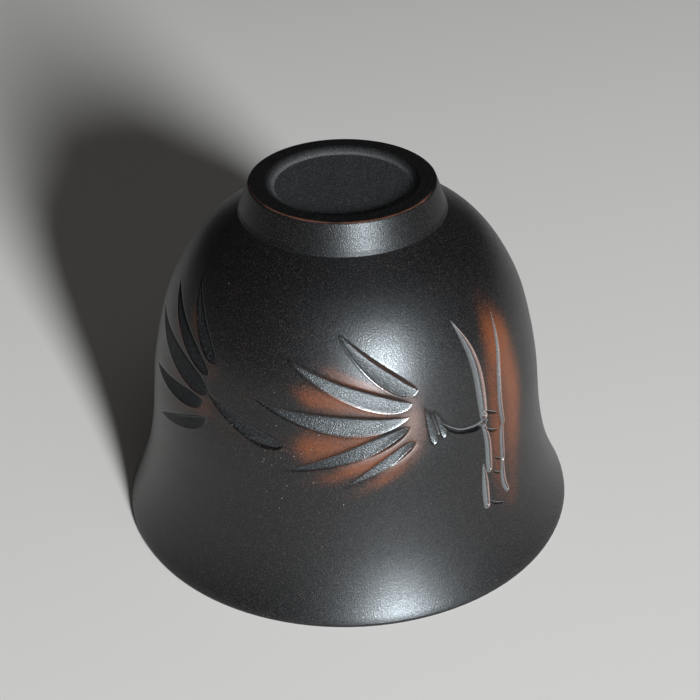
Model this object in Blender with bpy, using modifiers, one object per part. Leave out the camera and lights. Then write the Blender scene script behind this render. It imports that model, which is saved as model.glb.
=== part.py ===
"""Clay teacup with a flared lip, standing mouth down on its lip.

The cup is built from slabs of clay joined with slip: a bell-shaped wall, a base disc
that closes the wall's crown, and a foot ring luted over the seam between the two.
Metres, +Z up. The origin is the centre of the lip, on the surface that the cup stands on.
"""

import math

import bmesh
import bpy
from mathutils import Vector
from mathutils.geometry import interpolate_bezier

MM = 0.001

# Lip
LIP_RADIUS = 35.0 * MM
LIP_EDGE_RADIUS = 0.5 * MM
LIP_LEAN = math.radians(28.0)

# Outside of the bell, step by step from the lip to the foot: how far it rises and draws in
FLARE_RISE = 4.0 * MM
FLARE_TAPER = 1.62 * MM
SKIRT_RISE = 5.0 * MM
SKIRT_TAPER = 1.76 * MM
WAIST_RISE = 4.0 * MM
WAIST_TAPER = 0.92 * MM
BELLY_RISE = 16.0 * MM
BELLY_TAPER = 2.15 * MM
SHOULDER_RISE = 9.0 * MM
SHOULDER_TAPER = 2.6 * MM
CROWN_RISE = 8.0 * MM
CROWN_TAPER = 5.25 * MM
NECK_RISE = 4.1 * MM
NECK_TAPER = 5.5 * MM

# Thickness of the clay, measured square to the surface
LIP_THICKNESS = 1.7 * MM
WALL_THICKNESS = 2.9 * MM
FLOOR_THICKNESS = 3.6 * MM

# Foot ring, from its root to the shallow well inside it
FOOT_HEIGHT = 4.3 * MM
FOOT_TAPER = 1.6 * MM
FOOT_FACE_WIDTH = 2.4 * MM
FOOT_EDGE_RADIUS = 0.3 * MM
WELL_CHAMFER = 1.3 * MM
WELL_DEPTH = 0.85 * MM

# Slip joints
SEAM_INSET = 2.6 * MM
SLIP_THICKNESS = 0.3 * MM
ROOT_BEAD = 0.1 * MM
WELL_BEAD = 0.1 * MM

# A rounded edge takes at most this share of the clay that it lies on
EDGE_SHARE = 0.4

# Fineness of the facets
TURN_STEPS = 72
SPAN_POINTS = 4
ARC_POINTS = 4
DISH_POINTS = 6

# Points of a profile on the axis are merged within this distance
MERGE_DISTANCE = 0.01 * MM

# Finishes: colour, roughness
DARK_CLAY = ((0.018, 0.0175, 0.0185, 1.0), 0.38)
POLISHED_CLAY = ((0.018, 0.0175, 0.0185, 1.0), 0.45)
UNPOLISHED_CLAY = ((0.021, 0.021, 0.0225, 1.0), 0.55)
FIRED_SLIP = ((0.016, 0.0155, 0.0160, 1.0), 0.55)

DOWN = Vector((0.0, -1.0))


def clear_scene():
    """Remove every object, so that the file holds the cup alone."""
    for obj in list(bpy.data.objects):
        bpy.data.objects.remove(obj, do_unlink=True)


def smooth_curve(lead_in, knots, lead_out):
    """Points on a smooth curve through all knots, which comes from lead_in and leaves to lead_out."""
    chain = [lead_in, *knots, lead_out]
    tangents = []
    for before, knot, after in zip(chain, chain[1:], chain[2:]):
        step_in = knot - before
        step_out = after - knot
        blend = step_in.length / (step_in.length + step_out.length)
        tangents.append(step_in.normalized().lerp(step_out.normalized(), blend))
    curve = [knots[0]]
    for i in range(len(knots) - 1):
        reach = (knots[i + 1] - knots[i]).length / 3
        handle_a = knots[i] + tangents[i] * reach
        handle_b = knots[i + 1] - tangents[i + 1] * reach
        span = interpolate_bezier(knots[i], handle_a, handle_b, knots[i + 1], SPAN_POINTS + 1)
        curve += [point.to_2d() for point in span[1:]]
    return curve


def arc(centre, start, end):
    """Points on the arc about that centre, from start to end."""
    spoke_a = start - centre
    spoke_b = end - centre
    turns = [spoke_a.slerp(spoke_b, i / ARC_POINTS) for i in range(ARC_POINTS + 1)]
    return [centre + spoke_a.length * turn for turn in turns]


def rounded_corner(before, corner, after, radius):
    """Points on an arc of that radius, in place of a corner of an outline."""
    towards_a = (before - corner).normalized()
    towards_b = (after - corner).normalized()
    half_angle = towards_a.angle(towards_b) / 2
    reach = radius / math.tan(half_angle)
    centre = corner + (towards_a + towards_b).normalized() * radius / math.sin(half_angle)
    return arc(centre, corner + towards_a * reach, corner + towards_b * reach)


def crossing(a, b, c, d):
    """Where the line through a and b crosses the line through c and d."""
    first = b - a
    second = d - c
    return a + first * (c - a).cross(second) / first.cross(second)


def lip_edge():
    """Radius of the lip's rounded edges, and the centre of the outer one."""
    radius = min(LIP_EDGE_RADIUS, EDGE_SHARE * LIP_THICKNESS)
    return radius, Vector((LIP_RADIUS - radius, radius))


def bell_knots():
    """Points that the outside of the bell passes through, from above the flare up to the foot."""
    steps = [
        (FLARE_RISE, FLARE_TAPER),
        (SKIRT_RISE, SKIRT_TAPER),
        (WAIST_RISE, WAIST_TAPER),
        (BELLY_RISE, BELLY_TAPER),
        (SHOULDER_RISE, SHOULDER_TAPER),
        (CROWN_RISE, CROWN_TAPER),
        (NECK_RISE, NECK_TAPER),
    ]
    knots = []
    knot = Vector((LIP_RADIUS, 0.0))
    for rise, taper in steps:
        knot = knot + Vector((-taper, rise))
        knots.append(knot)
    return knots


def foot_root():
    """Where the outside of the bell meets the foot."""
    return bell_knots()[-1]


def foot_face():
    """Outer and inner corner of the flat face that the cup stands on in use."""
    outer = foot_root() + Vector((-FOOT_TAPER, FOOT_HEIGHT))
    return outer, outer - Vector((FOOT_FACE_WIDTH, 0.0))


def well_edge():
    """Where the floor of the well meets the foot."""
    return foot_face()[1] - Vector((WELL_CHAMFER, WELL_DEPTH))


def on_land(radius):
    """Point at that radius on the land, the cone from foot root to well edge that carries the foot."""
    root = foot_root()
    edge = well_edge()
    return root.lerp(edge, (root.x - radius) / (root.x - edge.x))


def ring_underside():
    """Outer and inner corner of the foot ring's underside, a slip's thickness off the land."""
    root = foot_root()
    edge = well_edge()
    face_outer, face_inner = foot_face()
    along = edge - root
    lift = Vector((along.y, -along.x)).normalized() * SLIP_THICKNESS
    outer = crossing(root, face_outer, root + lift, edge + lift)
    inner = crossing(edge, face_inner, root + lift, edge + lift)
    return outer, inner


def bell_outside():
    """Outside of the bell, from the lip's rounded edge up to the root of the foot."""
    edge, centre = lip_edge()
    lip_side = centre + edge * Vector((math.cos(LIP_LEAN), math.sin(LIP_LEAN)))
    below_lip = lip_side + edge * Vector((math.sin(LIP_LEAN), -math.cos(LIP_LEAN)))
    return smooth_curve(below_lip, [lip_side, *bell_knots()], well_edge())


def bell_inside(outside):
    """Inside of the bell, from the lip's inner corner to under the well. It thickens from lip to waist."""
    waist_height = FLARE_RISE + SKIRT_RISE + WAIST_RISE
    path = [*outside, well_edge()]
    inside = []
    for i, point in enumerate(path):
        along = path[min(i + 1, len(path) - 1)] - path[max(i - 1, 0)]
        inwards = Vector((-along.y, along.x)).normalized()
        thickening = (WALL_THICKNESS - LIP_THICKNESS) * min(point.y / waist_height, 1.0)
        inside.append(point + inwards * (LIP_THICKNESS + thickening))
    above_lip = [point for point in inside if point.y > lip_edge()[0]]
    lip_corner = crossing(above_lip[0], above_lip[1], Vector((0.0, 0.0)), Vector((LIP_RADIUS, 0.0)))
    return [lip_corner, *above_lip]


def seam_corners(inside):
    """Corners of the seam between wall and base disc: the wall's two, then the disc's two, inner first."""
    disc_radius = foot_root().x - SEAM_INSET
    opening = disc_radius + SLIP_THICKNESS
    lower = [point for point in inside if point.x > opening][-1]
    upper = inside[inside.index(lower) + 1]
    wall_inner = lower.lerp(upper, (lower.x - opening) / (lower.x - upper.x))
    disc_inner = Vector((disc_radius, wall_inner.y))
    return wall_inner, on_land(opening), disc_inner, on_land(disc_radius)


def clay_finish(name, colour, roughness):
    """A plain fired-clay material."""
    finish = bpy.data.materials.new(name)
    finish.use_nodes = True
    shader = finish.node_tree.nodes["Principled BSDF"]
    shader.inputs["Base Color"].default_value = colour
    shader.inputs["Roughness"].default_value = roughness
    shader.inputs["Metallic"].default_value = 0.0
    return finish


def turned(name, outline, closed, finish, collection):
    """A solid turned about Z. The outline of (radius, height) points runs down its outer side."""
    mesh = bpy.data.meshes.new(name)
    profile = bmesh.new()
    verts = [profile.verts.new((point.x, 0.0, point.y)) for point in outline]
    for first, second in zip(verts, verts[1:]):
        profile.edges.new((first, second))
    if closed:
        profile.edges.new((verts[-1], verts[0]))
    profile.to_mesh(mesh)
    profile.free()
    mesh.materials.append(clay_finish(name + "_finish", *finish))
    obj = bpy.data.objects.new(name, mesh)
    collection.objects.link(obj)
    screw = obj.modifiers.new("turn", "SCREW")
    screw.steps = TURN_STEPS
    screw.render_steps = TURN_STEPS
    screw.use_merge_vertices = True
    screw.merge_threshold = MERGE_DISTANCE
    screw.use_smooth_shade = True


def add_cup_wall(outside, inside, collection):
    """Bell-shaped wall, open at the lip and at the crown, where the base disc closes it."""
    wall_inner, wall_outer, _, _ = seam_corners(inside)
    edge, centre = lip_edge()
    outer_edge = arc(centre, outside[0], centre + DOWN * edge)
    inner_edge = rounded_corner(outer_edge[-1], inside[0], inside[1], edge)
    inner_side = [point for point in inside[1:] if point.x > wall_inner.x]
    outline = [wall_outer, *reversed(outside[1:]), *outer_edge, *inner_edge, *inner_side, wall_inner]
    turned("cup_wall", outline, True, DARK_CLAY, collection)


def add_base_disc(inside, collection):
    """Disc that closes the crown: flat in the well, dished inside the cup."""
    _, _, disc_inner, disc_outer = seam_corners(inside)
    well_height = well_edge().y
    dish_rise = well_height - FLOOR_THICKNESS - disc_inner.y
    outline = [Vector((0.0, well_height)), well_edge(), disc_outer]
    for i in range(DISH_POINTS + 1):
        share = i / DISH_POINTS
        radius = disc_inner.x * (1 - share)
        outline.append(Vector((radius, disc_inner.y + dish_rise * share * (2 - share))))
    turned("base_disc", outline, False, UNPOLISHED_CLAY, collection)


def add_base_slip(inside, collection):
    """Sleeve of slip that joins the edge of the base disc to the wall's opening."""
    wall_inner, wall_outer, disc_inner, disc_outer = seam_corners(inside)
    outline = [disc_outer, wall_outer, wall_inner, disc_inner]
    turned("base_slip", outline, True, FIRED_SLIP, collection)


def add_foot_ring(collection):
    """Ring that the cup stands on in use: a cone outside, a flat face and a chamfer into the well."""
    under_outer, under_inner = ring_underside()
    face_outer, face_inner = foot_face()
    edge = min(FOOT_EDGE_RADIUS, EDGE_SHARE * FOOT_FACE_WIDTH)
    inner_edge = rounded_corner(under_inner, face_inner, face_outer, edge)
    outer_edge = rounded_corner(face_inner, face_outer, under_outer, edge)
    outline = [*inner_edge, *outer_edge, under_outer, under_inner]
    turned("foot_ring", outline, True, POLISHED_CLAY, collection)


def add_foot_slip(outside, inside, collection):
    """Layer of slip under the foot ring, squeezed out as a bead at its root and in the well."""
    under_outer, under_inner = ring_underside()
    face_outer, face_inner = foot_face()
    _, wall_outer, _, disc_outer = seam_corners(inside)
    root = foot_root()
    edge = well_edge()
    bead_on_wall = root + (outside[-2] - root).normalized() * ROOT_BEAD
    bead_on_ring = under_outer + (face_outer - under_outer).normalized() * ROOT_BEAD
    bead_on_floor = edge - Vector((WELL_BEAD, 0.0))
    bead_on_chamfer = under_inner + (face_inner - under_inner).normalized() * WELL_BEAD
    ring_side = [bead_on_chamfer, under_inner, under_outer, bead_on_ring]
    cup_side = [bead_on_wall, root, wall_outer, disc_outer, edge, bead_on_floor]
    turned("foot_slip", ring_side + cup_side, True, FIRED_SLIP, collection)


def main():
    clear_scene()
    collection = bpy.data.collections.new("clay_teacup")
    bpy.context.scene.collection.children.link(collection)
    outside = bell_outside()
    inside = bell_inside(outside)
    add_cup_wall(outside, inside, collection)
    add_base_disc(inside, collection)
    add_base_slip(inside, collection)
    add_foot_ring(collection)
    add_foot_slip(outside, inside, collection)


main()
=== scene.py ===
"""Looks of a carved clay teacup, turned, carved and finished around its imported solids."""

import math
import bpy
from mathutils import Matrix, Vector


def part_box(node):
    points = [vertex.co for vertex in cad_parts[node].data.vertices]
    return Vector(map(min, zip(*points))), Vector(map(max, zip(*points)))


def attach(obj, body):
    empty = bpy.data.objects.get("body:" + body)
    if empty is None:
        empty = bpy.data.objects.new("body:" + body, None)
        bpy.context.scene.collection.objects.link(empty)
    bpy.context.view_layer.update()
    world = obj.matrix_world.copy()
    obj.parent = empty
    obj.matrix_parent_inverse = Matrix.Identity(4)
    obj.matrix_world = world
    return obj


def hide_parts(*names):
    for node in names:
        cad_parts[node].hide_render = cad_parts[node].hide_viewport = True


bl_info = {
    "name": "Carved clay teacup",
    "version": (1, 0, 0),
    "blender": (4, 5, 0),
    "location": "3D View > Sidebar > Teacup",
    "description": "Turns, carves and finishes the wall, base, foot ring and slip seams of a clay teacup",
    "category": "Object",
}

from collections import namedtuple

import bmesh
import bpy
import numpy as np
from bpy.props import FloatProperty, FloatVectorProperty, IntProperty, PointerProperty
from mathutils import Matrix, Vector
from mathutils.geometry import interpolate_bezier

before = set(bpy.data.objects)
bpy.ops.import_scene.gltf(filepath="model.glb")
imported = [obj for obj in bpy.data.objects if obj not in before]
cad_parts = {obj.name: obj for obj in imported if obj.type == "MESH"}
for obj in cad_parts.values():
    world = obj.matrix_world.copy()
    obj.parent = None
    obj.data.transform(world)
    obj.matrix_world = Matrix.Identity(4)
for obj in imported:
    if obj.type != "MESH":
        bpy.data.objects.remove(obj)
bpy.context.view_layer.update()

MM = 0.001
BODY = "root"
WELD = 0.002 * MM
CORNER = math.radians(40.0)
OUTLINE_STEP = 0.05 * MM
WALL_TOLERANCE = 0.3 * MM
LIP_ZONE = 1.5 * MM

# The carving is laid out on the unrolled wall, in millimetres: across runs to the right of the
# middle of the front, measured at the unrolling radius, and up runs from the lip to the foot.
UNROLLING_RADIUS = 28.5 * MM

# A leaf bulges from its chord on the left hand of its run from tip to butt, its back, and on the right
# hand, its belly, and is cut deepest under its steep side, by a share of its breadth. Blunt is how full
# its butt is, stop is the share of its length over which its low side turns steep too, and hollow is 1 for
# a flat floor that slants and more for a gouged one. A stroke's section runs from the right hand to the
# left hand of its route, in half widths, with heights for a stroke 1 mm wide. Its route has the stroke's
# width as a third number.
Leaf = namedtuple(
    "Leaf", "tip butt back belly steep blunt depth stop hollow", defaults=("back", 0.95, 0.21, 0.0, 2.0))
Stroke = namedtuple("Stroke", "section route")
Carving = namedtuple("Carving", "depth from_edge in_leaf walls pale core flushed worn")
Patch = namedtuple("Patch", "across up reach_across reach_up strength lean", defaults=(0.0,))

LEFT_FAN = (
    Leaf((-31.8, 44.0), (-21.4, 35.9), 0.95, 1.35, depth=0.26, hollow=1.3),
    Leaf((-38.5, 41.2), (-22.4, 33.9), 1.15, 1.25, depth=0.30, hollow=1.15),
    Leaf((-41.2, 36.0), (-21.9, 31.3), 1.55, 1.90, depth=0.30, hollow=1.15),
    Leaf((-38.2, 28.0), (-22.6, 29.6), 0.85, 1.80, depth=0.45, hollow=1.15),
    Leaf((-34.3, 21.7), (-21.5, 27.6), 0.50, 1.60, depth=0.55, hollow=1.15),
)
LONG_LEAF = (
    Leaf((-21.9, 31.3), (-8.8, 27.5), 0.48, 2.00, stop=0.5),
)
RIGHT_FAN = (
    Leaf((-1.0, 42.6), (10.5, 34.5), 0.66, 2.05),
    Leaf((-9.0, 39.15), (9.4, 32.9), 0.60, 2.10),
    Leaf((-13.3, 33.0), (8.8, 31.05), 0.42, 2.65, blunt=0.72),
    Leaf((-9.0, 23.25), (8.9, 29.7), 1.05, 1.50, blunt=0.88, stop=0.5),
    Leaf((-0.4, 21.4), (9.55, 27.4), 1.00, 0.85, stop=0.5),
)
BUD = (
    Leaf((11.3, 32.0), (12.25, 26.2), 0.85, 0.45, "belly", depth=0.34),
    Leaf((12.0, 31.5), (13.15, 27.4), 0.40, 0.20, "belly", depth=0.36),
    Leaf((12.6, 31.2), (13.75, 26.7), 0.90, 0.22, "belly", depth=0.34),
)
CHANNEL = (
    (-1.0, 0.0), (-0.84, 0.03), (-0.6, -0.03), (-0.35, -0.13), (-0.1, -0.15), (0.4, -0.1), (0.84, 0.02),
    (1.0, 0.0))
BLADE = (
    (-1.0, 0.0), (-0.86, 0.04), (-0.66, -0.06), (-0.4, -0.2), (-0.15, -0.22), (0.5, -0.12), (0.86, 0.02),
    (1.0, 0.0))
RIDGE = (
    (-1.0, 0.0), (-0.9, -0.38), (-0.25, -0.48), (0.0, 0.02), (0.14, 0.12), (0.35, 0.07), (1.0, 0.0))
CULM = (
    Stroke(BLADE, (
        (20.98, 27.4, 1.6), (21.02, 30.6, 1.95), (21.02, 32.2, 2.0), (20.92, 34.4, 1.9), (20.45, 37.2, 1.6),
        (19.75, 39.3, 1.15), (18.55, 41.9, 0.1))),
    Stroke(CHANNEL, (
        (21.5, 18.3, 1.25), (21.45, 20.0, 1.4), (21.4, 22.6, 1.35), (21.15, 24.3, 1.15),
        (20.75, 26.0, 0.9))),
    Stroke(CHANNEL, ((20.45, 12.75, 1.25), (20.45, 14.5, 1.4), (20.5, 16.6, 1.3), (20.35, 19.6, 0.35))),
    Stroke(CHANNEL, (
        (24.9, 24.5, 0.9), (24.7, 26.5, 1.1), (24.8, 28.6, 1.1), (25.15, 30.6, 1.1), (25.6, 32.6, 1.05),
        (26.35, 35.3, 0.95), (27.1, 38.0, 0.65), (27.7, 40.1, 0.2))),
    Stroke(CHANNEL, ((24.45, 18.4, 0.95), (24.4, 20.3, 1.1), (24.4, 22.0, 1.1), (24.5, 23.9, 0.9))),
    Stroke(CHANNEL, (
        (24.8, 13.0, 0.95), (24.4, 13.9, 1.1), (24.2, 15.2, 1.2), (24.25, 16.8, 1.0), (24.35, 18.3, 0.8))),
)
TWIG = (
    Stroke(RIDGE, (
        (13.9, 28.8, 0.5), (15.2, 27.75, 0.95), (16.7, 26.95, 1.15), (18.2, 26.65, 1.4),
        (19.4, 26.55, 1.65), (20.7, 26.7, 1.7))),
)
NODE_LINES = (
    Stroke(RIDGE, ((21.4, 28.0, 0.35), (22.6, 27.35, 0.75), (23.7, 26.65, 0.35))),
    Stroke(RIDGE, ((21.2, 25.3, 0.35), (22.4, 24.5, 0.75), (23.6, 24.0, 0.35))),
    Stroke(RIDGE, ((22.8, 19.55, 0.3), (23.5, 19.1, 0.6), (24.2, 18.7, 0.3))),
    Stroke(RIDGE, ((22.4, 17.4, 0.3), (23.1, 16.9, 0.6), (23.85, 16.4, 0.3))),
    Stroke(RIDGE, ((21.1, 13.1, 0.3), (22.3, 12.2, 0.65), (23.5, 11.6, 0.35))),
)
UPPER_LEAVES = RIGHT_FAN[:3]
LEAVES = LEFT_FAN + LONG_LEAF + RIGHT_FAN + BUD
RIDGES = TWIG + NODE_LINES

RUBBED_PATCHES = (
    Patch(-4.9, 34.2, 2.6, 1.3, 0.50, -14.0),
    Patch(-5.4, 35.6, 2.4, 1.5, 0.16, -14.0),
    Patch(-1.5, 34.0, 4.8, 1.3, 0.72, -14.0),
    Patch(4.0, 32.6, 3.6, 0.7, 0.65, -12.0),
    Patch(2.2, 36.5, 5.2, 0.8, 0.70, -19.0),
    Patch(-1.0, 38.6, 4.0, 1.6, 0.20, -22.0),
    Patch(-5.2, 27.5, 2.5, 2.6, 0.60, 6.0),
    Patch(-2.0, 28.0, 3.6, 1.6, 0.64, 12.0),
    Patch(2.2, 28.9, 2.6, 0.9, 0.55, 18.0),
    Patch(2.4, 24.9, 6.2, 1.2, 0.78, 22.0),
    Patch(5.6, 22.9, 4.6, 1.2, 0.60, 30.0),
    Patch(9.7, 30.6, 1.9, 4.4, 0.40),
    Patch(-9.8, 27.7, 1.8, 1.4, 0.15),
    Patch(-17.0, 27.2, 4.5, 1.8, 0.10, -15.0),
    Patch(-19.0, 33.5, 5.0, 3.0, 0.06),
    Patch(-21.8, 34.3, 1.5, 2.2, 0.18),
    Patch(-22.6, 29.8, 2.8, 1.5, 0.22),
    Patch(-22.0, 28.4, 2.2, 1.8, 0.20),
    Patch(-28.5, 39.6, 4.0, 1.2, 0.30, -35.0),
    Patch(-31.0, 36.5, 4.5, 1.2, 0.28, -20.0),
    Patch(-30.0, 30.6, 5.5, 0.9, 0.30),
    Patch(-27.5, 26.6, 4.5, 0.9, 0.30, 20.0),
    Patch(27.7, 35.9, 2.8, 4.8, 0.94),
    Patch(28.0, 29.0, 2.8, 5.0, 0.84),
    Patch(27.2, 22.5, 2.5, 4.5, 0.66),
    Patch(26.6, 16.0, 2.2, 4.0, 0.36),
    Patch(25.6, 11.5, 1.8, 2.5, 0.25),
    Patch(25.3, 36.6, 1.8, 3.8, 0.68),
    Patch(23.5, 30.0, 1.5, 5.0, 0.56),
    Patch(23.3, 23.0, 1.4, 4.5, 0.55),
    Patch(23.2, 16.0, 1.3, 4.0, 0.36),
)
# Pale pinkish patches: the one by the leaf butts is a painted highlight; the one on the stem lightens the
# brown there.
HIGHLIGHT_AND_WEAR_PATCHES = (
    Patch(9.3, 30.2, 1.3, 3.8, 0.44),
    Patch(27.6, 30.0, 2.4, 7.0, 0.12),
)
GRITTY_PATCH = Patch(-8.0, 25.0, 9.0, 8.0, 1.0)

# What all leaves share: shares of their length, bulge, breadth or steep wall, and widths along their edges.
LEAF_POINTS = 65
TIP_REACH = 0.28
TIP_SWELL = 0.80
BUTT_SWELL = 1.70
STEEP_SHARE = 0.25
STEEP_FADE = (1.1, 0.5)
STOP_HEIGHT = 0.8
STOP_WALL = 0.6
STOP_END = 1.01
LOW_START = -0.2 * MM
LOW_WALL = 0.1 * MM
WALL_START = 0.1 * MM
RIM_OUT_MM = 0.25
RIM_WIDTH_MM = 0.4
RIM_RUN = (0.3, 0.8)
CUT_EDGE = (0.06 * MM, 0.30 * MM)
SHINY_EDGE = 0.2 * MM
BUD_EDGE = (0.05 * MM, 0.2 * MM)
FLUSHED_WALL = 0.25
# Painted highlight, partly wear: a pale pinkish band along the low rims of the right fan's leaves.
RIM_HIGHLIGHT = 0.6
PALE_BUD = 0.2

# What all strokes share: steps in millimetres and in half widths, and bands across a stroke in half widths.
ROUTE_STEP = 0.6
SECTION_STEP = 0.05
GROOVE_EDGE = 0.1 * MM
GROOVE_GRADING = 0.3
GROOVE_PALE = ((-0.48, -0.28), (0.98, 0.82))
# Painted shade: the right third of a groove is kept dark, without brown.
GROOVE_SHADE = ((-0.28, -0.45), (-0.72, -0.55))
# A painted highlight in pale pink on a groove's right wall, over the brown clay there.
GROOVE_HIGHLIGHT_SIDE = (-0.5, -0.68)
GROOVE_HIGHLIGHT = 0.8
RIDGE_EDGE = 0.08 * MM
# Painted highlight: a pale grey line along a ridge's top.
RIDGE_HIGHLIGHT = ((-0.05, 0.08), (0.5, 0.22))
# Painted shade: the groove below a ridge is kept dark, without brown.
RIDGE_SHADE = (0.0, -0.3)

# Marks on the foot ring and the slip, as shares of their outer radius, widths and strengths.
WELL_SHARE = 0.9
WELL_FADE = 0.85 * MM
# Painted light: the foot ring's flat face is made a little lighter, as a reflection from above would make
# it.
PAINTED_FACE_LIGHT = 0.03
FACE_FADE = 0.2 * MM
WORN_WIDTH = 0.22 * MM
WORN_FRONT = 0.25
BEAD_SHARES = (0.9, 0.8)

# The clay's noises, by their scales and the ranges in which they are spread over a finish.
GRAIN_SCALE = 6000.0
SHEEN_SCALE = 15000.0
MOTTLE_SCALE = 220.0
SPECK_SCALE = 1300.0
SPECK_SHARE = 0.05
SPECK_EDGE = (0.12, 0.06)
FULL = (0.0, 1.0)
NOISE = (0.3, 0.7)
SHADES = (0.32, 0.68)
GRAINS = (0.56, 0.70)
SHEEN = (0.36, 0.64)

# Finishes. Grit is how dark a colour is between the grains and how light it is on them, and matt is a
# roughness.
CLAY_IOR = 1.5
FINE_SPREAD = 0.2
PALE_SPREAD = 0.3
COARSE_SPREAD = 0.5
SKIN_GRIT = (0.5, 4.6)
CUT_GRIT = (0.5, 5.0)
BASE_GRIT = (0.8, 3.8)
WALL_SPECKS = (0.05, 0.55)
RUBBED_GRAIN = (-0.18, 0.18)
RUBBED_CLOUDS = (-0.07, 0.07)
RUBBED_SHOWN = (0.06, 0.98)
WALL_MATT = (0.24, 0.50)
RUBBED_MATT = (0.0, 0.04)
PALE_MATT = (0.0, 0.16)
EDGE_MATT = (1.0, 0.6)
WALL_RELIEF = 0.049 * MM
CUT_ROUGHNESS = (0.65, 1.4)
EDGE_ROUGHNESS = (1.0, 0.3)
WORN_CLOUDS = (-0.35, 0.25)
WORN_SHOWN = (0.35, 0.9)
WELL_EDGE_SHADE = 1.7
WELL_BEAD_SHADE = 2.3
FOOT_MATT = (0.30, 0.50)
FOOT_SHINE = 0.34
FOOT_RELIEF = 0.04 * MM
BASE_MATT = (0.46, 0.56)
BASE_RELIEF = 0.08 * MM
SLIP_MATT = (0.36, 0.52)
SLIP_SHINE = 0.3

NODE_SPACING = 200.0
SENSOR_WIDTH = 36.0
NEAR_CLIP = 10.0 * MM
FLOOR_SEGMENTS = 128


class TurningSettings(bpy.types.PropertyGroup):
    """How finely the clay is turned."""

    wall_steps: IntProperty(
        name="Wall steps", description="Steps of the wall's full turn", default=112, min=24)
    foot_steps: IntProperty(
        name="Foot steps", description="Steps of the foot ring's and base's full turn", default=192, min=24)
    wall_rows: FloatProperty(
        name="Wall rows", description="Distance between the wall's rows", default=1.5 * MM, unit="LENGTH")
    foot_rows: FloatProperty(
        name="Foot rows", description="Distance between the foot's and base's rows", default=0.35 * MM,
        unit="LENGTH")


class CarvingSettings(bpy.types.PropertyGroup):
    """Sizes of the cuts in the wall."""

    low_round: FloatProperty(
        name="Low round", description="Rounding of the edge along a leaf's low side", default=0.12 * MM,
        unit="LENGTH")
    steep_wall: FloatProperty(
        name="Steep wall", description="Width of the wall along a leaf's steep side", default=0.55 * MM,
        unit="LENGTH")
    edge_round: FloatProperty(
        name="Edge round", description="Reach of the rounded edge beyond a leaf's outline",
        default=0.10 * MM, unit="LENGTH")
    burr_height: FloatProperty(
        name="Burr height", description="Height of the burr along a leaf's low side", default=0.04 * MM,
        unit="LENGTH")
    burr_width: FloatProperty(
        name="Burr width", description="Width of that burr", default=0.22 * MM, unit="LENGTH")
    finest_cell: FloatProperty(
        name="Finest cell", description="Size of the mesh's cells at the cut edges", default=0.105 * MM,
        unit="LENGTH")
    grading: FloatProperty(
        name="Grading", description="Growth of the cells with their distance from the cut edges",
        default=0.75, min=0.1, max=2.0)


class ClaySettings(bpy.types.PropertyGroup):
    """Colours of the fired clay."""

    skin: FloatVectorProperty(
        name="Skin", description="Burnished dark clay", default=(0.0056, 0.0048, 0.0047), subtype="COLOR",
        min=0.0, max=1.0)
    rubbed: FloatVectorProperty(
        name="Rubbed clay", description="Red-brown clay where the dark skin is polished through",
        default=(0.100, 0.0235, 0.0045), subtype="COLOR", min=0.0, max=1.0)
    cut: FloatVectorProperty(
        name="Cut clay", description="Granular clay on the floors of the leaves",
        default=(0.0075, 0.0077, 0.0080), subtype="COLOR", min=0.0, max=1.0)
    # Also painted as a highlight along the tops of the ridges.
    scored: FloatVectorProperty(
        name="Scored clay", description="Matt grey clay in the grooves of the stem",
        default=(0.080, 0.078, 0.0765), subtype="COLOR", min=0.0, max=1.0)
    base: FloatVectorProperty(
        name="Base clay", description="Unpolished clay of the base", default=(0.030, 0.0285, 0.0285),
        subtype="COLOR", min=0.0, max=1.0)
    slip: FloatVectorProperty(
        name="Slip", description="Fired slip in the seams", default=(0.0056, 0.0048, 0.0047),
        subtype="COLOR", min=0.0, max=1.0)
    speck: FloatVectorProperty(
        name="Specks", description="Pale grit in the clay", default=(0.20, 0.18, 0.165), subtype="COLOR",
        min=0.0, max=1.0)
    # On the foot ring this colour is the real worn edge.
    worn: FloatVectorProperty(
        name="Worn edge", description="Clay along the foot ring's worn edge", default=(0.130, 0.050, 0.031),
        subtype="COLOR", min=0.0, max=1.0)
    # Painted highlight in pale pink along cut rims, by the leaf butts and on the grooves' right walls,
    # partly wear.
    pink_highlight_and_wear: FloatVectorProperty(
        name="Bleached clay", description="Pale pinkish clay along the rims of the cuts",
        default=(0.165, 0.100, 0.082), subtype="COLOR", min=0.0, max=1.0)


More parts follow.
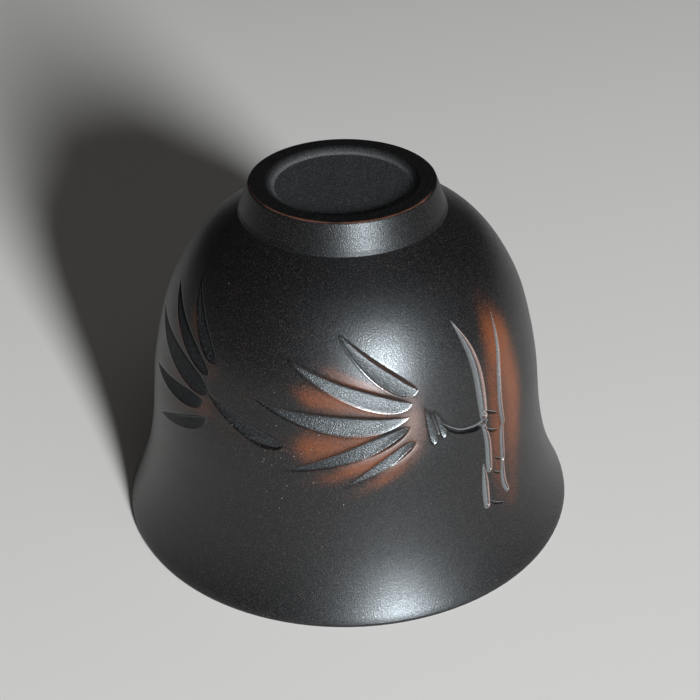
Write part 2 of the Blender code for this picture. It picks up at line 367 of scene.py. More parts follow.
class StageSettings(bpy.types.PropertyGroup):
    """Camera, lamps and floor."""

    camera_elevation: FloatProperty(
        name="Camera elevation", description="Height of the camera's view above the level",
        default=math.radians(32.21), subtype="ANGLE")
    camera_distance: FloatProperty(
        name="Camera distance", description="From the camera to its target on the axis", default=232.5 * MM,
        unit="LENGTH")
    target_height: FloatProperty(
        name="Target height", description="Height of the camera's target above the lip", default=28.0 * MM,
        unit="LENGTH")
    pan: FloatProperty(
        name="Pan", description="Turn of the camera away from its target, sideways",
        default=math.radians(-0.17), subtype="ANGLE")
    tilt: FloatProperty(
        name="Tilt", description="Turn of the camera away from its target, up or down",
        default=math.radians(-0.60), subtype="ANGLE")
    roll: FloatProperty(
        name="Roll", description="Turn of the camera about its line of sight", default=math.radians(-1.11),
        subtype="ANGLE")
    lens: FloatProperty(
        name="Lens", description="Focal length in millimetres on a 36 mm wide sensor", default=78.1)
    key_azimuth: FloatProperty(
        name="Key azimuth", description="Direction of the key lamp, to the right of the front",
        default=math.radians(22.5), subtype="ANGLE")
    key_elevation: FloatProperty(
        name="Key elevation", description="Height of the key lamp above the level",
        default=math.radians(16.3), subtype="ANGLE")
    key_distance: FloatProperty(
        name="Key distance", description="From the cup to the key lamp", default=1.5, unit="LENGTH")
    key_width: FloatProperty(
        name="Key width", description="Width of the key lamp", default=0.20, unit="LENGTH")
    key_height: FloatProperty(
        name="Key height", description="Height of the key lamp", default=0.45, unit="LENGTH")
    key_power: FloatProperty(
        name="Key power", description="Power of the key lamp", default=61.0, unit="POWER")
    lamp_colour: FloatVectorProperty(
        name="Lamp colour", description="Colour of the lamps", default=(0.83, 0.935, 1.0), subtype="COLOR",
        min=0.0, max=1.0)
    fill_azimuth: FloatProperty(
        name="Fill azimuth", description="Direction of the fill lamp, to the right of the front",
        default=math.radians(30.0), subtype="ANGLE")
    fill_elevation: FloatProperty(
        name="Fill elevation", description="Height of the fill lamp above the level",
        default=math.radians(60.0), subtype="ANGLE")
    fill_distance: FloatProperty(
        name="Fill distance", description="From the cup to the fill lamp", default=1.2, unit="LENGTH")
    fill_width: FloatProperty(
        name="Fill width", description="Width of the fill lamp", default=1.0, unit="LENGTH")
    fill_height: FloatProperty(
        name="Fill height", description="Height of the fill lamp", default=0.8, unit="LENGTH")
    fill_power: FloatProperty(
        name="Fill power", description="Power of the fill lamp", default=0.8, unit="POWER")
    world_light: FloatProperty(
        name="World light", description="Strength of the even light from all round", default=0.02)
    backdrop: FloatProperty(
        name="Backdrop", description="Brightness of the plain background behind the floor", default=0.6)
    floor_colour: FloatVectorProperty(
        name="Floor", description="Colour of the floor", default=(0.80, 0.715, 0.66), subtype="COLOR",
        min=0.0, max=1.0)
    floor_radius: FloatProperty(
        name="Floor radius", description="Radius of the round floor", default=1.2, unit="LENGTH")


class TeacupSettings(bpy.types.PropertyGroup):
    """All settings of the teacup."""

    turning: PointerProperty(type=TurningSettings)
    carving: PointerProperty(type=CarvingSettings)
    clay: PointerProperty(type=ClaySettings)
    stage: PointerProperty(type=StageSettings)


def ramp(values, start, end):
    """Smooth step of an array from 0 at start to 1 at end."""
    share = np.clip((values - start) / (end - start), 0.0, 1.0)
    return share * share * (3.0 - 2.0 * share)


def band(values, rise, fall):
    """Smooth band of an array, up to 1 over one range and down again over another."""
    return ramp(values, *rise) * ramp(values, *fall)


def tangent(before, after, own):
    """Direction of a line where two of its spans meet, or of its own span at a corner."""
    if before.angle(after) > CORNER:
        return own.normalized()
    return (before + after).normalized()


def fair_line(points, spacing, closed=False):
    """Points of a smooth line through the given ones, kept sharp at their corners."""
    points = [Vector(point) for point in points]
    following = points[1:] + points[:1] if closed else points[1:]
    spans = [end - start for start, end in zip(points, following)]
    line = []
    for index, (start, end, span) in enumerate(zip(points, following, spans)):
        before = spans[index - 1] if closed or index else span
        after = spans[(index + 1) % len(spans)] if closed or index + 1 < len(spans) else span
        leaving = start + tangent(before, span, span) * span.length / 3
        arriving = end - tangent(span, after, span) * span.length / 3
        count = max(2, math.ceil(span.length / spacing) + 1)
        line += interpolate_bezier(start, leaving, arriving, end, count)[:-1]
    return line if closed else line + [points[-1]]


def node_outline(node):
    """Outline of a turned solid as (radius, height), from the top of its outside, and if it closes."""
    section = bmesh.new()
    section.from_mesh(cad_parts[node].data)
    bmesh.ops.remove_doubles(section, verts=section.verts, dist=WELD)
    off_plane = [vert for vert in section.verts if abs(vert.co.y) > WELD or vert.co.x < -WELD]
    bmesh.ops.delete(section, geom=off_plane, context="VERTS")
    ends = [vert for vert in section.verts if len(vert.link_edges) == 1]
    closed = not ends
    vert = max(ends or section.verts, key=lambda vert: (vert.co.z, vert.co.x))
    outline = []
    walked = set()
    while vert is not None:
        walked.add(vert)
        outline.append((max(vert.co.x, 0.0), vert.co.z))
        ahead = [edge.other_vert(vert) for edge in vert.link_edges]
        ahead = [other for other in ahead if other not in walked]
        vert = max(ahead, key=lambda other: other.co.x, default=None)
    section.free()
    if not closed:
        outline = [(0.0, outline[0][1])] * (outline[0][0] > WELD) + outline
        outline += [(0.0, outline[-1][1])] * (outline[-1][0] > WELD)
    return outline, closed


def turned_shape(node, rows, steps):
    """A node's outline, made fair and spun into a closed shape; gives the shape and the outline."""
    outline, closed = node_outline(node)
    low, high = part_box(node)
    line = [(point.x, min(max(point.y, low[2]), high[2])) for point in fair_line(outline, rows, closed)]
    shape = bmesh.new()
    corners = [shape.verts.new((radius, 0.0, height)) for radius, height in line]
    following = corners[1:] + corners[:1] if closed else corners[1:]
    edges = [shape.edges.new(pair) for pair in zip(corners, following)]
    bmesh.ops.spin(
        shape, geom=corners + edges, cent=(0.0, 0.0, 0.0), axis=(0.0, 0.0, 1.0), angle=math.tau,
        steps=steps, use_merge=True)
    bmesh.ops.remove_doubles(shape, verts=shape.verts, dist=WELD)
    bmesh.ops.recalc_face_normals(shape, faces=shape.faces)
    return shape, outline


def outer_wall():
    """Radius of the wall's outside at rising heights, and its slope there."""
    outline, closed = node_outline("cup_wall")
    line = np.array(fair_line(outline, OUTLINE_STEP, closed))
    outside = line[: np.argmax(line[:, 0]) + 1][::-1]
    heights = outside[:, 1]
    radii = outside[:, 0]
    return heights, radii, np.gradient(radii, heights)


def unrolled(points):
    """Across and up of points on the wall."""
    return np.column_stack((np.arctan2(points[:, 0], -points[:, 1]) * UNROLLING_RADIUS, points[:, 2]))


def leaf_cut(leaf, places, sizes):
    """Depth of a leaf at unrolled places, how far inside they are, its steep wall and its low rim."""
    tip = np.array(leaf.tip) * MM
    chord = np.array(leaf.butt) * MM - tip
    length = np.hypot(*chord)
    along = chord / length
    run = (places - tip) @ along
    rise = (places - tip) @ np.array((-along[1], along[0]))
    step = np.linspace(0.0, 1.0, LEAF_POINTS)
    near_tip = 3.0 * (1.0 - step) ** 2 * step
    near_butt = 3.0 * (1.0 - step) * step ** 2
    reach = length * (TIP_REACH * near_tip + leaf.blunt * near_butt + step ** 3)
    swell = TIP_SWELL * near_tip + BUTT_SWELL * near_butt
    past = np.maximum(-run, run - length)
    beyond = -np.hypot(np.maximum(past, 0.0), rise)
    sides = {}
    for side, bulge, facing in (("back", leaf.back * MM, 1.0), ("belly", leaf.belly * MM, -1.0)):
        edge = np.interp(run, reach, swell * bulge)
        slope = np.interp(run, reach, np.gradient(swell * bulge, reach))
        sides[side] = np.where(past > 0.0, beyond, (edge - facing * rise) / np.hypot(1.0, slope))
    from_steep = sides.pop(leaf.steep)
    from_low = sides.popitem()[1]
    inside = np.minimum(from_steep, from_low)
    breadth = np.maximum(from_steep + from_low, WELD)
    wall_width = np.minimum(sizes.steep_wall, STEEP_SHARE * breadth)
    wall = ramp(from_steep, -sizes.edge_round, wall_width)
    soft_low = 0.5 * (from_low + np.hypot(from_low, sizes.low_round))
    stopped = STOP_HEIGHT * ramp(run / length, 1.0 - leaf.stop, STOP_END) * (leaf.stop > 0.0)
    share = np.maximum(np.clip(soft_low / breadth, 0.0, 1.0), stopped)
    low_wall = LOW_WALL + stopped * STOP_WALL * wall_width
    gouge = 1.0 - (1.0 - share) ** leaf.hollow
    floor = leaf.depth * breadth * gouge * ramp(from_low, LOW_START, low_wall)
    burr = sizes.burr_height * np.exp(-(from_low / sizes.burr_width) ** 2) * (past < 0.0)
    burr *= ramp(from_steep, 0.0, wall_width) * (1.0 - stopped)
    steep = ramp(inside, 0.0, WALL_START) * ramp(from_steep / wall_width, *STEEP_FADE)
    from_rim = (from_low / MM + RIM_OUT_MM) / RIM_WIDTH_MM
    rim = np.exp(-from_rim ** 2) * ramp(run / length, *RIM_RUN) * (past < 0.0)
    return floor * wall - burr, inside, steep, rim


def stroke_height(stroke, places):
    """Height of a stroke at places of the unrolled wall, how far inside it they are, and on which side."""
    route = np.array(fair_line(stroke.route, ROUTE_STEP)) * MM
    nearest = np.full(len(places), np.inf)
    offset = np.zeros(len(places))
    width = np.zeros(len(places))
    for start, end in zip(route, route[1:]):
        span = (end - start)[:2]
        from_start = places - start[:2]
        share = np.clip(from_start @ span / (span @ span), 0.0, 1.0)
        away = np.linalg.norm(from_start - share[:, None] * span, axis=1)
        left_hand = np.sign(from_start @ np.array((-span[1], span[0])))
        closer = away < nearest
        nearest = np.where(closer, away, nearest)
        offset = np.where(closer, away * left_hand, offset)
        width = np.where(closer, start[2] + (end[2] - start[2]) * share, width)
    section = np.array(fair_line(stroke.section, SECTION_STEP))
    side = 2.0 * offset / width
    return np.interp(side, section[:, 0], section[:, 1]) * width, width / 2 - nearest, side


def patch_at(patch, places):
    """Strength of a soft patch at places of the unrolled wall."""
    away = places / MM - (patch.across, patch.up)
    lean = math.radians(patch.lean)
    along = away @ (math.cos(lean), math.sin(lean)) / patch.reach_across
    beside = away @ (-math.sin(lean), math.cos(lean)) / patch.reach_up
    return patch.strength * np.exp(-along ** 2 - beside ** 2)


def carving_at(places, sizes):
    """Carving at places of the unrolled wall: its depth, the nearness of its edges and its finishes, which
    include painted highlights and painted shade.
    """
    depth = np.zeros(len(places))
    from_edge = np.full(len(places), 1.0)
    in_leaf = np.full(len(places), -1.0)
    walls = np.zeros(len(places))
    pale = np.zeros(len(places))
    core = np.zeros(len(places))
    flushed = np.zeros(len(places))
    # Pale pinkish marks: painted highlights, partly wear.
    worn = np.max([patch_at(patch, places) for patch in HIGHLIGHT_AND_WEAR_PATCHES], axis=0)
    for leaf in LEAVES:
        hollow, within, steep, rim = leaf_cut(leaf, places, sizes)
        depth = np.where(np.abs(hollow) > np.abs(depth), hollow, depth)
        from_edge = np.minimum(from_edge, np.abs(within))
        in_leaf = np.maximum(in_leaf, within)
        walls = np.maximum(walls, steep)
        if leaf in UPPER_LEAVES:
            flushed = np.maximum(flushed, FLUSHED_WALL * steep)
        elif leaf in RIGHT_FAN:
            # A painted highlight along the leaf's low rim.
            worn = np.maximum(worn, RIM_HIGHLIGHT * rim)
        elif leaf in BUD:
            pale = np.maximum(pale, PALE_BUD * ramp(within, *BUD_EDGE) * (1.0 - steep))
    for stroke in CULM:
        height, within, side = stroke_height(stroke, places)
        depth = depth - height
        from_edge = np.minimum(from_edge, np.maximum(-within, GROOVE_GRADING * within))
        inside = ramp(within, 0.0, GROOVE_EDGE)
        pale = np.maximum(pale, inside * band(side, *GROOVE_PALE))
        # Painted shade keeps the right third of the groove dark.
        core = np.maximum(core, inside * band(side, *GROOVE_SHADE))
        # A painted highlight on the groove's right wall.
        worn = np.maximum(worn, GROOVE_HIGHLIGHT * inside * ramp(side, *GROOVE_HIGHLIGHT_SIDE))
    for stroke in RIDGES:
        height, within, side = stroke_height(stroke, places)
        depth = depth - height
        from_edge = np.minimum(from_edge, np.maximum(-within, 0.0))
        inside = ramp(within, 0.0, RIDGE_EDGE)
        # A painted highlight in pale grey along the ridge's top.
        pale = np.maximum(pale, inside * band(side, *RIDGE_HIGHLIGHT))
        # Painted shade keeps the groove below the ridge dark.
        core = np.maximum(core, inside * ramp(side, *RIDGE_SHADE))
    return Carving(depth, from_edge, in_leaf, walls, pale, core, flushed, worn)


def faces_out(face):
    """Whether a face of the wall looks away from the axis."""
    corner = face.verts[0].co
    return face.normal.x * corner.x + face.normal.y * corner.y > 0.0


def refine_for_carving(shape, sizes):
    """Splits the cells of the wall's outside until they are fine enough along the cut edges."""
    while True:
        outside = [face for face in shape.faces if faces_out(face)]
        centres = np.array([face.calc_center_median() for face in outside])
        widths = np.array([max(edge.calc_length() for edge in face.edges) for face in outside])
        near = carving_at(unrolled(centres), sizes).from_edge
        allowed = np.maximum(sizes.finest_cell, sizes.grading * (near - 0.5 * widths))
        coarse = [face for face, width, most in zip(outside, widths, allowed) if width > most]
        if not coarse:
            return
        edges = list(dict.fromkeys(edge for face in coarse for edge in face.edges))
        bmesh.ops.subdivide_edges(shape, edges=edges, cuts=1, use_grid_fill=True)


def carve(shape, sizes):
    """Moves the wall's outside in by the carving's depth; gives each vertex's finish marks, painted
    highlights and painted shade among them.
    """
    points = np.array([vert.co for vert in shape.verts])
    radii = np.hypot(points[:, 0], points[:, 1])
    heights, wall_radii, wall_slopes = outer_wall()
    wall = np.interp(points[:, 2], heights, wall_radii)
    on_outside = (np.abs(radii - wall) < WALL_TOLERANCE) & (points[:, 2] > LIP_ZONE)
    places = unrolled(points)
    carving = carving_at(places, sizes)
    slope = np.interp(points[:, 2], heights, wall_slopes)
    outward = 1.0 / np.hypot(1.0, slope)
    for vert, radius, target, cut, out, lean, moves in zip(
            shape.verts, radii, wall, carving.depth, outward, slope, on_outside):
        if moves:
            scale = (target - cut * out) / radius
            vert.co = (vert.co.x * scale, vert.co.y * scale, vert.co.z + cut * out * lean)
    unrubbed = np.prod([1.0 - patch_at(patch, places) for patch in RUBBED_PATCHES], axis=0)
    return {
        # Brown is kept off the painted shade in the grooves; the pale and pinkish marks carry painted
        # highlights too.
        "rubbed": np.maximum((1.0 - unrubbed) * (1.0 - carving.core), carving.flushed) * on_outside,
        "cut": ramp(carving.in_leaf, *CUT_EDGE) * (1.0 - carving.walls) * on_outside,
        "scored": carving.pale * on_outside,
        "worn": carving.worn * (carving.in_leaf < 0.0) * on_outside,
        "rim": np.exp(-(carving.in_leaf / SHINY_EDGE) ** 2) * on_outside,
        "gritty": patch_at(GRITTY_PATCH, places) * on_outside,
    }


def new_piece(name, shape, node, material, marks=None):
    """Makes a shape an object that stands for a solid, with its finish."""
    mesh = bpy.data.meshes.new(name)
    shape.to_mesh(mesh)
    shape.free()
    for mark, values in (marks or {}).items():
        mesh.attributes.new(mark, "FLOAT", "POINT").data.foreach_set("value", values.astype(np.float32))
    mesh.shade_smooth()
    if not marks or "cut" not in marks:
        mesh.set_sharp_from_angle(angle=CORNER)
    mesh.materials.append(material)
    piece = bpy.data.objects.new(name, mesh)
    bpy.context.scene.collection.objects.link(piece)
    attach(piece, BODY)
    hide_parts(node)


def add_node(tree, kind, inputs=None, **settings):
    """Adds a node; each input takes a value or the socket that feeds it."""
    node = tree.nodes.new(kind)
    node.location = (NODE_SPACING * len(tree.nodes), 0.0)
    for name, value in settings.items():
        setattr(node, name, value)
    for key, value in (inputs or {}).items():
        if isinstance(value, bpy.types.NodeSocket):
            tree.links.new(value, node.inputs[key])
        else:
            node.inputs[key].default_value = value
    return node


def opaque(colour):
    """A colour with its alpha, or the socket that gives it."""
    return colour if isinstance(colour, bpy.types.NodeSocket) else (*colour, 1.0)


def mixed_colour(tree, share, low, high):
    """Colour between two, by a share; a colour is three parts or a socket."""
    inputs = {0: share, 6: opaque(low), 7: opaque(high)}
    return add_node(tree, "ShaderNodeMix", inputs, data_type="RGBA").outputs[2]


def mapped(tree, value, given, wanted, smooth=False):
    """Value mapped from one range to another, kept within it."""
    inputs = {
        "Value": value, "From Min": given[0], "From Max": given[1],
        "To Min": wanted[0], "To Max": wanted[1]}
    kind = "SMOOTHSTEP" if smooth else "LINEAR"
    return add_node(tree, "ShaderNodeMapRange", inputs, interpolation_type=kind).outputs["Result"]


def combined(tree, operation, first, second):
    """Sum, product or other operation on two values."""
    return add_node(tree, "ShaderNodeMath", {0: first, 1: second}, operation=operation).outputs[0]


def mark_of(tree, name):
    """A finish mark of the piece's mesh."""
    return add_node(tree, "ShaderNodeAttribute", attribute_name=name).outputs["Fac"]


def clay_grain_group():
    """Group that gives the clay's fine grain, its finer sheen, its cloudy mottling and its pale specks."""
    if "clay_grain" in bpy.data.node_groups:
        return bpy.data.node_groups["clay_grain"]
    group = bpy.data.node_groups.new("clay_grain", "ShaderNodeTree")
    defaults = {"Grain Scale": GRAIN_SCALE, "Mottle Scale": MOTTLE_SCALE, "Speck Share": SPECK_SHARE}
    for name, default in defaults.items():
        socket = group.interface.new_socket(name, in_out="INPUT", socket_type="NodeSocketFloat")
        socket.default_value = default
    for name in ("Grain", "Sheen", "Mottle", "Specks"):
        group.interface.new_socket(name, in_out="OUTPUT", socket_type="NodeSocketFloat")
    given = group.nodes.new("NodeGroupInput")
    where = add_node(group, "ShaderNodeTexCoord").outputs["Object"]
    grain = add_node(group, "ShaderNodeTexNoise", {
        "Vector": where, "Scale": given.outputs["Grain Scale"], "Detail": 2.0, "Roughness": 0.5})
    sheen = add_node(group, "ShaderNodeTexNoise", {"Vector": where, "Scale": SHEEN_SCALE, "Detail": 0.0})
    mottle = add_node(group, "ShaderNodeTexNoise", {
        "Vector": where, "Scale": given.outputs["Mottle Scale"], "Detail": 3.0, "Roughness": 0.55})
    grit = add_node(group, "ShaderNodeTexVoronoi", {"Vector": where, "Scale": SPECK_SCALE})
    chosen = combined(group, "LESS_THAN", grit.outputs["Color"], given.outputs["Speck Share"])
    dots = mapped(group, grit.outputs["Distance"], SPECK_EDGE, FULL)
    result = group.nodes.new("NodeGroupOutput")
    group.links.new(grain.outputs["Fac"], result.inputs["Grain"])
    group.links.new(sheen.outputs["Fac"], result.inputs["Sheen"])
    group.links.new(mottle.outputs["Fac"], result.inputs["Mottle"])
    group.links.new(combined(group, "MULTIPLY", chosen, dots), result.inputs["Specks"])
    return group


def clay_material(name):
    """Empty material with its shader and the clay's grain."""
    material = bpy.data.materials.new(name)
    material.use_nodes = True
    tree = material.node_tree
    shader = tree.nodes["Principled BSDF"]
    shader.inputs["IOR"].default_value = CLAY_IOR
    grain = add_node(tree, "ShaderNodeGroup", node_tree=clay_grain_group())
    return material, tree, shader, grain


def add_relief(tree, shader, height, distance):
    """Gives a shader the fine relief of a height."""
    bump = add_node(tree, "ShaderNodeBump", {"Height": height, "Strength": 1.0, "Distance": distance})
    tree.links.new(bump.outputs["Normal"], shader.inputs["Normal"])


def shaded(colour, factor):
    """A colour made darker or lighter by a factor."""
    return [factor * part for part in colour]


def grainy_colour(tree, grain, colour, spread):
    """A colour that the clay's grain makes darker and lighter by a spread."""
    share = mapped(tree, grain.outputs["Grain"], SHADES, FULL)
    return mixed_colour(tree, share, shaded(colour, 1.0 - spread), shaded(colour, 1.0 + spread))


def gritty_colour(tree, grain, colour, grit):
    """A colour that is darker between the clay's fine grains and lighter on them."""
    share = mapped(tree, grain.outputs["Grain"], GRAINS, FULL)
    between, on_grains = grit
    return mixed_colour(tree, share, shaded(colour, between), shaded(colour, on_grains))


def wall_finish(clay):
    """Burnished dark clay with red-brown patches, granular cuts, pale grey grooves and pale pinkish paint
    that is partly painted highlight.
    """
    material, tree, shader, grain = clay_material("burnished_carved_clay")
    tree.links.new(mapped(tree, mark_of(tree, "gritty"), FULL, WALL_SPECKS), grain.inputs["Speck Share"])
    uneven = mapped(tree, grain.outputs["Grain"], NOISE, RUBBED_GRAIN)
    cloudy = mapped(tree, grain.outputs["Mottle"], NOISE, RUBBED_CLOUDS)
    rubbed = combined(tree, "ADD", mark_of(tree, "rubbed"), combined(tree, "ADD", uneven, cloudy))
    share = mapped(tree, rubbed, RUBBED_SHOWN, FULL, smooth=True)
    skin = gritty_colour(tree, grain, clay.skin, SKIN_GRIT)
    colour = mixed_colour(tree, share, skin, grainy_colour(tree, grain, clay.rubbed, FINE_SPREAD))
    # Pale pinkish paint: painted highlight along rims, by the leaf butts and on the grooves' walls, partly
    # wear.
    worn = mark_of(tree, "worn")
    colour = mixed_colour(tree, worn, colour, grainy_colour(tree, grain, clay.pink_highlight_and_wear, FINE_SPREAD))
    cut = mark_of(tree, "cut")
    colour = mixed_colour(tree, cut, colour, gritty_colour(tree, grain, clay.cut, CUT_GRIT))
    # Pale grey scored clay in the grooves, and a painted highlight along the ridges' tops.
    scored = mark_of(tree, "scored")
    colour = mixed_colour(tree, scored, colour, grainy_colour(tree, grain, clay.scored, PALE_SPREAD))
    colour = mixed_colour(tree, grain.outputs["Specks"], colour, clay.speck)
    tree.links.new(colour, shader.inputs["Base Color"])
    matt = mapped(tree, grain.outputs["Sheen"], SHEEN, WALL_MATT)
    matt = combined(tree, "ADD", matt, mapped(tree, share, FULL, RUBBED_MATT))
    matt = combined(tree, "ADD", matt, mapped(tree, scored, FULL, PALE_MATT))
    rim = mark_of(tree, "rim")
    matt = combined(tree, "MULTIPLY", matt, mapped(tree, rim, FULL, EDGE_MATT))
    tree.links.new(matt, shader.inputs["Roughness"])
    rough = mapped(tree, cut, FULL, CUT_ROUGHNESS)
    rough = combined(tree, "MULTIPLY", rough, mapped(tree, rim, FULL, EDGE_ROUGHNESS))
    height = combined(tree, "MULTIPLY", grain.outputs["Grain"], rough)
    add_relief(tree, shader, height, WALL_RELIEF)
    return material


def foot_finish(clay):
    """Burnished dark clay, wearing to red-brown along the foot ring's edge and matt towards the well, with
    a little painted light on its flat face.
    """
    material, tree, shader, grain = clay_material("burnished_foot_clay")
    skin = gritty_colour(tree, grain, clay.skin, SKIN_GRIT)
    well_edge = grainy_colour(tree, grain, shaded(clay.base, WELL_EDGE_SHADE), COARSE_SPREAD)
    # Lighter unpolished clay towards the well, and a little painted light on the flat face.
    colour = mixed_colour(tree, mark_of(tree, "unpolished"), skin, well_edge)
    cloudy = mapped(tree, grain.outputs["Mottle"], NOISE, WORN_CLOUDS)
    worn = combined(tree, "ADD", mark_of(tree, "worn"), cloudy)
    colour = mixed_colour(tree, mapped(tree, worn, WORN_SHOWN, FULL), colour, clay.worn)
    colour = mixed_colour(tree, grain.outputs["Specks"], colour, clay.speck)
    tree.links.new(colour, shader.inputs["Base Color"])
    tree.links.new(mapped(tree, grain.outputs["Sheen"], SHEEN, FOOT_MATT), shader.inputs["Roughness"])
    shader.inputs["Specular IOR Level"].default_value = FOOT_SHINE
    add_relief(tree, shader, grain.outputs["Grain"], FOOT_RELIEF)
    return material


def base_finish(clay):
    """Unpolished clay with a fine matt grain."""
    material, tree, shader, grain = clay_material("unpolished_base_clay")
    colour = gritty_colour(tree, grain, clay.base, BASE_GRIT)
    colour = mixed_colour(tree, grain.outputs["Specks"], colour, clay.speck)
    tree.links.new(colour, shader.inputs["Base Color"])
    tree.links.new(mapped(tree, grain.outputs["Mottle"], NOISE, BASE_MATT), shader.inputs["Roughness"])
    add_relief(tree, shader, grain.outputs["Grain"], BASE_RELIEF)
    return material


def slip_finish(clay):
    """Fired slip, rubbed down to the clay's own colour outside and left matt in the well."""
    if "rubbed_slip" in bpy.data.materials:
        return bpy.data.materials["rubbed_slip"]
    material, tree, shader, grain = clay_material("rubbed_slip")
    skin = gritty_colour(tree, grain, clay.slip, SKIN_GRIT)
    bead = grainy_colour(tree, grain, shaded(clay.base, WELL_BEAD_SHADE), COARSE_SPREAD)
    colour = mixed_colour(tree, mark_of(tree, "unpolished"), skin, bead)
    tree.links.new(colour, shader.inputs["Base Color"])
    tree.links.new(mapped(tree, grain.outputs["Sheen"], SHEEN, SLIP_MATT), shader.inputs["Roughness"])
    shader.inputs["Specular IOR Level"].default_value = SLIP_SHINE
    add_relief(tree, shader, grain.outputs["Grain"], FOOT_RELIEF)
    return material


class TEACUP_OT_wall(bpy.types.Operator):
    """Turn the wall and carve it"""

    bl_idname = "teacup.wall"
    bl_label = "Carved Wall"

    def execute(self, context):
        settings = context.scene.teacup
        shape = turned_shape("cup_wall", settings.turning.wall_rows, settings.turning.wall_steps)[0]
        refine_for_carving(shape, settings.carving)
        marks = carve(shape, settings.carving)
        new_piece("carved_wall", shape, "cup_wall", wall_finish(settings.clay), marks)
        return {"FINISHED"}


class TEACUP_OT_foot(bpy.types.Operator):
    """Turn the foot ring and wear its edge"""

    bl_idname = "teacup.foot"
    bl_label = "Foot Ring"

    def execute(self, context):
        settings = context.scene.teacup
        turning = settings.turning
        shape, outline = turned_shape("foot_ring", turning.foot_rows, turning.foot_steps)
        points = np.array([vert.co for vert in shape.verts])
        edge_radius, edge_height = outline[0]
        radii = np.hypot(points[:, 0], points[:, 1])
        away = np.hypot(radii - edge_radius, points[:, 2] - edge_height)
        front = np.clip(WORN_FRONT - points[:, 1] / edge_radius, 0.0, 1.0)
        sunk = ramp(edge_height - points[:, 2], 0.0, WELL_FADE) * (radii < WELL_SHARE * edge_radius)
        # Painted light: the flat face is made a little lighter, as a reflection from above would make it.
        face = PAINTED_FACE_LIGHT * ramp(points[:, 2], edge_height - FACE_FADE, edge_height)
        marks = {
            "worn": np.exp(-(away / WORN_WIDTH) ** 2) * front,
            "unpolished": np.maximum(sunk, face),
        }
        new_piece("burnished_foot", shape, "foot_ring", foot_finish(settings.clay), marks)
        return {"FINISHED"}


class TEACUP_OT_base(bpy.types.Operator):
    """Turn the base that closes the cup"""

    bl_idname = "teacup.base"
    bl_label = "Base"

    def execute(self, context):
        settings = context.scene.teacup
        shape = turned_shape("base_disc", settings.turning.foot_rows, settings.turning.foot_steps)[0]
        new_piece("base", shape, "base_disc", base_finish(settings.clay))
        return {"FINISHED"}


class TEACUP_OT_seams(bpy.types.Operator):
    """Turn the slip seams of the foot ring and the base"""

    bl_idname = "teacup.seams"
    bl_label = "Slip Seams"

    def execute(self, context):
        settings = context.scene.teacup
        for name, node in (("foot_seam", "foot_slip"), ("base_seam", "base_slip")):
            shape = turned_shape(node, settings.turning.foot_rows, settings.turning.foot_steps)[0]
            radii = np.array([vert.co.xy.length for vert in shape.verts])
            marks = {"unpolished": ramp(radii / radii.max(), *BEAD_SHARES)}
            new_piece(name, shape, node, slip_finish(settings.clay), marks)
        return {"FINISHED"}


def direction(azimuth, elevation):
    """Direction from the cup, by the angle to the right of the front and the height above the level."""
    level = math.cos(elevation)
    return Vector((math.sin(azimuth) * level, -math.cos(azimuth) * level, math.sin(elevation)))


def add_camera(stage):
    """Camera at the photograph's viewing angle."""
    camera = bpy.data.cameras.new("camera")
    camera.lens = stage.lens
    camera.sensor_width = SENSOR_WIDTH
    camera.clip_start = NEAR_CLIP
    target = Vector((0.0, 0.0, stage.target_height))
    eye = target + direction(0.0, stage.camera_elevation) * stage.camera_distance
    holder = bpy.data.objects.new("camera", camera)
    holder.matrix_world = (
        Matrix.Translation(eye)
        @ Matrix.Rotation(math.pi / 2 - stage.camera_elevation, 4, "X")
        @ Matrix.Rotation(stage.pan, 4, "Y")
        @ Matrix.Rotation(stage.tilt, 4, "X")
        @ Matrix.Rotation(stage.roll, 4, "Z"))
    bpy.context.scene.collection.objects.link(holder)
    bpy.context.scene.camera = holder


def add_lamp(stage, name):
    """Soft oval lamp, the key or the fill, that points at the cup."""
    lamp = bpy.data.lights.new(name + "_lamp", "AREA")
    lamp.shape = "ELLIPSE"
    lamp.size = getattr(stage, name + "_width")
    lamp.size_y = getattr(stage, name + "_height")
    lamp.energy = getattr(stage, name + "_power")
    lamp.color = stage.lamp_colour
    towards = direction(getattr(stage, name + "_azimuth"), getattr(stage, name + "_elevation"))
    holder = bpy.data.objects.new(name + "_lamp", lamp)
    holder.location = towards * getattr(stage, name + "_distance")
    holder.rotation_euler = towards.to_track_quat("Z", "Y").to_euler()
    bpy.context.scene.collection.objects.link(holder)


def add_floor(stage):
    """Plain pale floor, seen through from below."""
    shape = bmesh.new()
    bmesh.ops.create_circle(shape, cap_ends=True, segments=FLOOR_SEGMENTS, radius=stage.floor_radius)
    mesh = bpy.data.meshes.new("floor")
    shape.to_mesh(mesh)
    shape.free()
    material = bpy.data.materials.new("pale_floor")
    material.use_nodes = True
    tree = material.node_tree
    tree.nodes.remove(tree.nodes["Principled BSDF"])
    top = add_node(tree, "ShaderNodeBsdfDiffuse", {"Color": opaque(stage.floor_colour)})
    behind = add_node(tree, "ShaderNodeNewGeometry").outputs["Backfacing"]
    clear = add_node(tree, "ShaderNodeBsdfTransparent")
    mix = add_node(tree, "ShaderNodeMixShader", {0: behind, 1: top.outputs[0], 2: clear.outputs[0]})
    tree.links.new(mix.outputs[0], tree.nodes["Material Output"].inputs["Surface"])
    mesh.materials.append(material)
    floor = bpy.data.objects.new("floor", mesh)
    bpy.context.scene.collection.objects.link(floor)


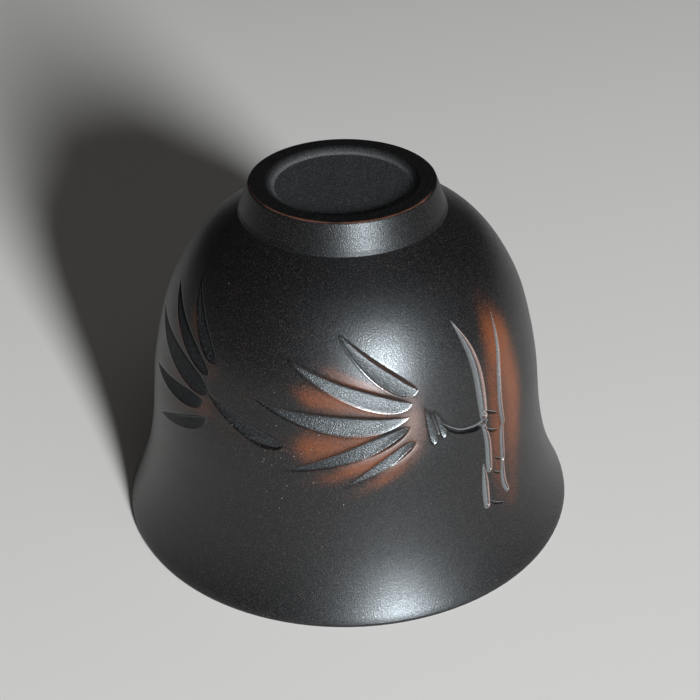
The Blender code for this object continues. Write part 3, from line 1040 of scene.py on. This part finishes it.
def add_world(stage):
    """Even dim light from all round, with a pale background behind the floor."""
    world = bpy.data.worlds.new("studio")
    world.use_nodes = True
    bpy.context.scene.world = world
    tree = world.node_tree
    tree.nodes["Background"].inputs["Color"].default_value = (1.0, 1.0, 1.0, 1.0)
    seen = add_node(tree, "ShaderNodeLightPath").outputs["Is Camera Ray"]
    strength = mapped(tree, seen, FULL, (stage.world_light, stage.backdrop))
    tree.links.new(strength, tree.nodes["Background"].inputs["Strength"])


class TEACUP_OT_stage(bpy.types.Operator):
    """Set up the camera, lamps and floor"""

    bl_idname = "teacup.stage"
    bl_label = "Stage"

    def execute(self, context):
        stage = context.scene.teacup.stage
        context.scene.view_settings.view_transform = "Standard"
        add_camera(stage)
        add_lamp(stage, "key")
        add_lamp(stage, "fill")
        add_floor(stage)
        add_world(stage)
        return {"FINISHED"}


class TEACUP_PT_sidebar(bpy.types.Panel):
    """Lists the teacup's settings and steps"""

    bl_idname = "TEACUP_PT_sidebar"
    bl_label = "Clay Teacup"
    bl_space_type = "VIEW_3D"
    bl_region_type = "UI"
    bl_category = "Teacup"

    def draw(self, context):
        for step in OPERATORS:
            self.layout.operator(step.bl_idname)
        for group in SETTINGS[:-1]:
            box = self.layout.box()
            name = group.__name__.removesuffix("Settings").lower()
            box.label(text=name.title())
            for key in group.__annotations__:
                box.prop(getattr(context.scene.teacup, name), key)


SETTINGS = (TurningSettings, CarvingSettings, ClaySettings, StageSettings, TeacupSettings)
OPERATORS = (TEACUP_OT_wall, TEACUP_OT_foot, TEACUP_OT_base, TEACUP_OT_seams, TEACUP_OT_stage)


def register():
    """Registers the settings, steps and panel."""
    for kind in SETTINGS + OPERATORS + (TEACUP_PT_sidebar,):
        bpy.utils.register_class(kind)
    bpy.types.Scene.teacup = PointerProperty(type=TeacupSettings)


def unregister():
    """Removes them again."""
    del bpy.types.Scene.teacup
    for kind in reversed(SETTINGS + OPERATORS + (TEACUP_PT_sidebar,)):
        bpy.utils.unregister_class(kind)


def main():
    """Builds the dressed teacup."""
    register()
    bpy.ops.teacup.wall()
    bpy.ops.teacup.foot()
    bpy.ops.teacup.base()
    bpy.ops.teacup.seams()
    bpy.ops.teacup.stage()


if __name__ == "__main__":
    main()
